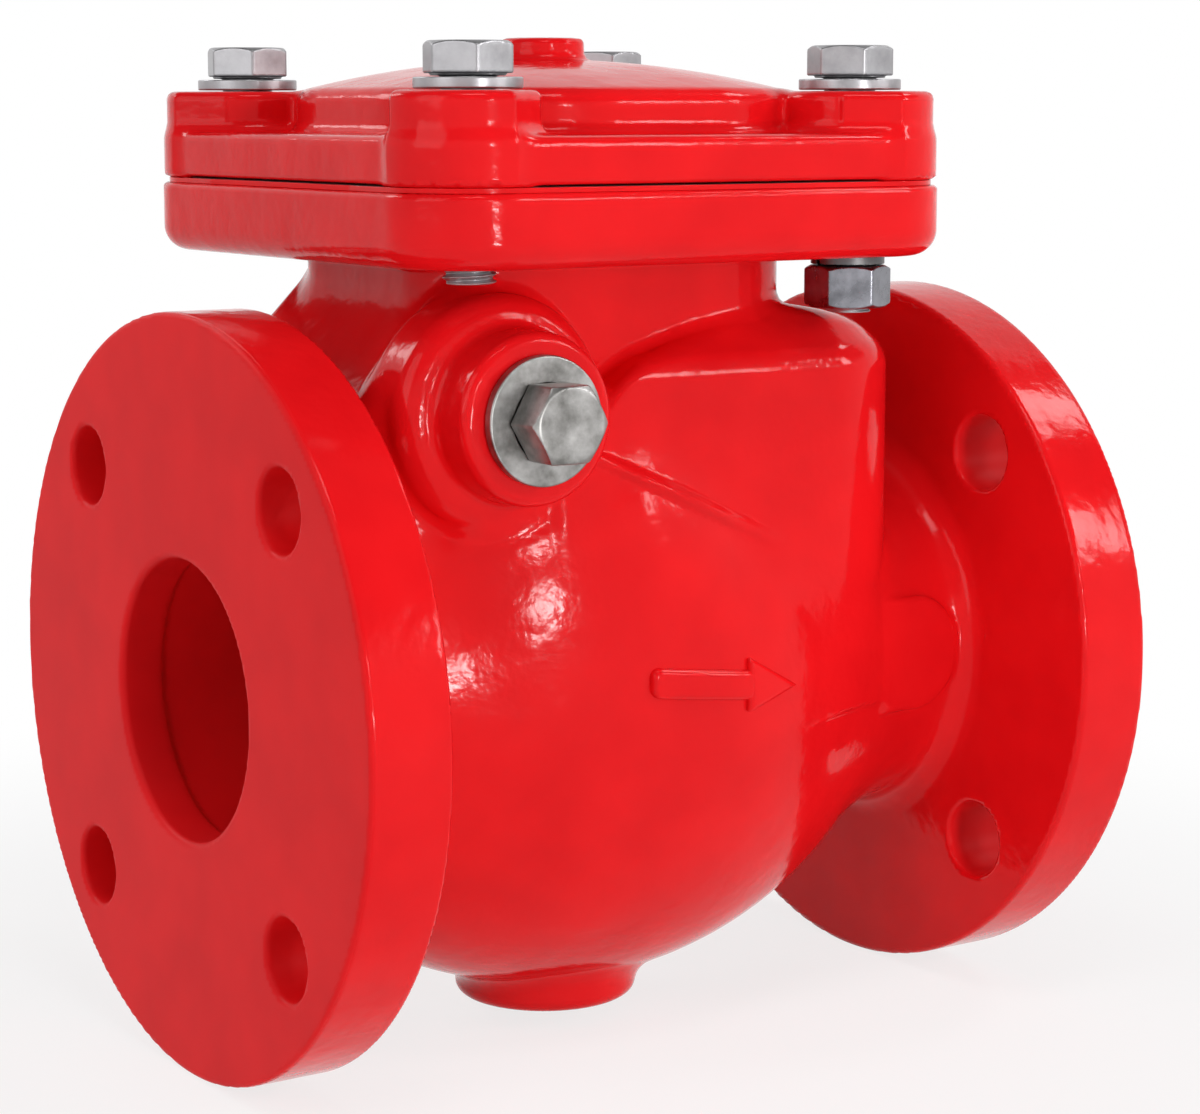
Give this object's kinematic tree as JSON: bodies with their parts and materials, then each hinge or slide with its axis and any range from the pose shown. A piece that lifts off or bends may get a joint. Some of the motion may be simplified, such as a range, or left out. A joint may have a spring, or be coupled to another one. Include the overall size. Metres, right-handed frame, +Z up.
{
  "type": "non-return valve",
  "caption": "Flanged swing check valve: red cast body with a bolted top cover and a hinged clapper that water pushes open one way and closes the other.",
  "frame": {"origin": "middle of the inlet flange's face, on the pipe's axis", "axes": "+X is the flow direction from the inlet flange to the outlet flange, +Z points up to the cover, and -Y is the side of the hinge pin's plug"},
  "size_m": [0.216, 0.178, 0.2399],
  "materials": {
    "bonnet_cover": "gloss red epoxy coating on a ductile iron casting",
    "bonnet_gasket": "dark compressed fibre and rubber sheet",
    "clapper_arm": "cast bronze, bored at the hinge and at the stud",
    "clapper_disc": "cast and turned bronze",
    "cotter_pin": "stainless steel wire",
    "cover_bolt_outlet_far": "dull zinc-plated steel",
    "cover_bolt_outlet_near": "dull zinc-plated steel",
    "cover_lock_washer_outlet_far": "dark spring steel",
    "cover_lock_washer_outlet_near": "dark spring steel",
    "cover_nut_outlet_far": "dull zinc-plated steel",
    "cover_nut_outlet_near": "dull zinc-plated steel",
    "cover_screw_inlet_far": "dull zinc-plated steel",
    "cover_screw_inlet_near": "dull zinc-plated steel",
    "cover_washer_inlet_far": "dull zinc-plated steel",
    "cover_washer_inlet_near": "dull zinc-plated steel",
    "cover_washer_outlet_far": "dull zinc-plated steel",
    "cover_washer_outlet_near": "dull zinc-plated steel",
    "disc_seal": "black rubber",
    "disc_stud": "stainless steel",
    "hinge_bush_far": "bronze",
    "hinge_bush_near": "bronze",
    "hinge_pin": "ground stainless steel",
    "hinge_plug": "machined stainless steel",
    "plug_washer": "machined stainless steel",
    "seal_retainer": "turned bronze",
    "seat_ring": "machined bronze",
    "stud_nut": "stainless steel",
    "stud_washer": "stainless steel",
    "thrust_washer_far": "bronze",
    "thrust_washer_near": "bronze",
    "valve_body": "gloss red epoxy coating on a ductile iron casting"
  },
  "bodies": {
    "valve": {"bonnet_cover": "bonnet_cover", "bonnet_gasket": "bonnet_gasket", "cover_bolt_outlet_far": "cover_bolt_outlet_far", "cover_bolt_outlet_near": "cover_bolt_outlet_near", "cover_lock_washer_outlet_far": "cover_lock_washer_outlet_far", "cover_lock_washer_outlet_near": "cover_lock_washer_outlet_near", "cover_nut_outlet_far": "cover_nut_outlet_far", "cover_nut_outlet_near": "cover_nut_outlet_near", "cover_screw_inlet_far": "cover_screw_inlet_far", "cover_screw_inlet_near": "cover_screw_inlet_near", "cover_washer_inlet_far": "cover_washer_inlet_far", "cover_washer_inlet_near": "cover_washer_inlet_near", "cover_washer_outlet_far": "cover_washer_outlet_far", "cover_washer_outlet_near": "cover_washer_outlet_near", "hinge_bush_far": "hinge_bush_far", "hinge_bush_near": "hinge_bush_near", "hinge_plug": "hinge_plug", "plug_washer": "plug_washer", "seat_ring": "seat_ring", "thrust_washer_far": "thrust_washer_far", "thrust_washer_near": "thrust_washer_near", "valve_body": "valve_body"},
    "clapper_arm": {"clapper_arm": "clapper_arm", "hinge_pin": "hinge_pin"},
    "clapper_disc": {"clapper_disc": "clapper_disc", "disc_seal": "disc_seal", "seal_retainer": "seal_retainer", "disc_stud": "disc_stud", "stud_washer": "stud_washer", "stud_nut": "stud_nut", "cotter_pin": "cotter_pin"}
  },
  "joints": [
    {"name": "clapper_swing", "type": "hinge", "parent": "valve", "child": "clapper_arm", "pos_m": [0.058, 0, 0.0667], "axis": [0, -1, 0], "range_deg": [0, 72]},
    {"name": "disc_spin", "type": "hinge", "parent": "clapper_arm", "child": "clapper_disc", "pos_m": [0.054, 0, 0], "axis": [0.9962, 0, 0.0872], "continuous": true}
  ]
}
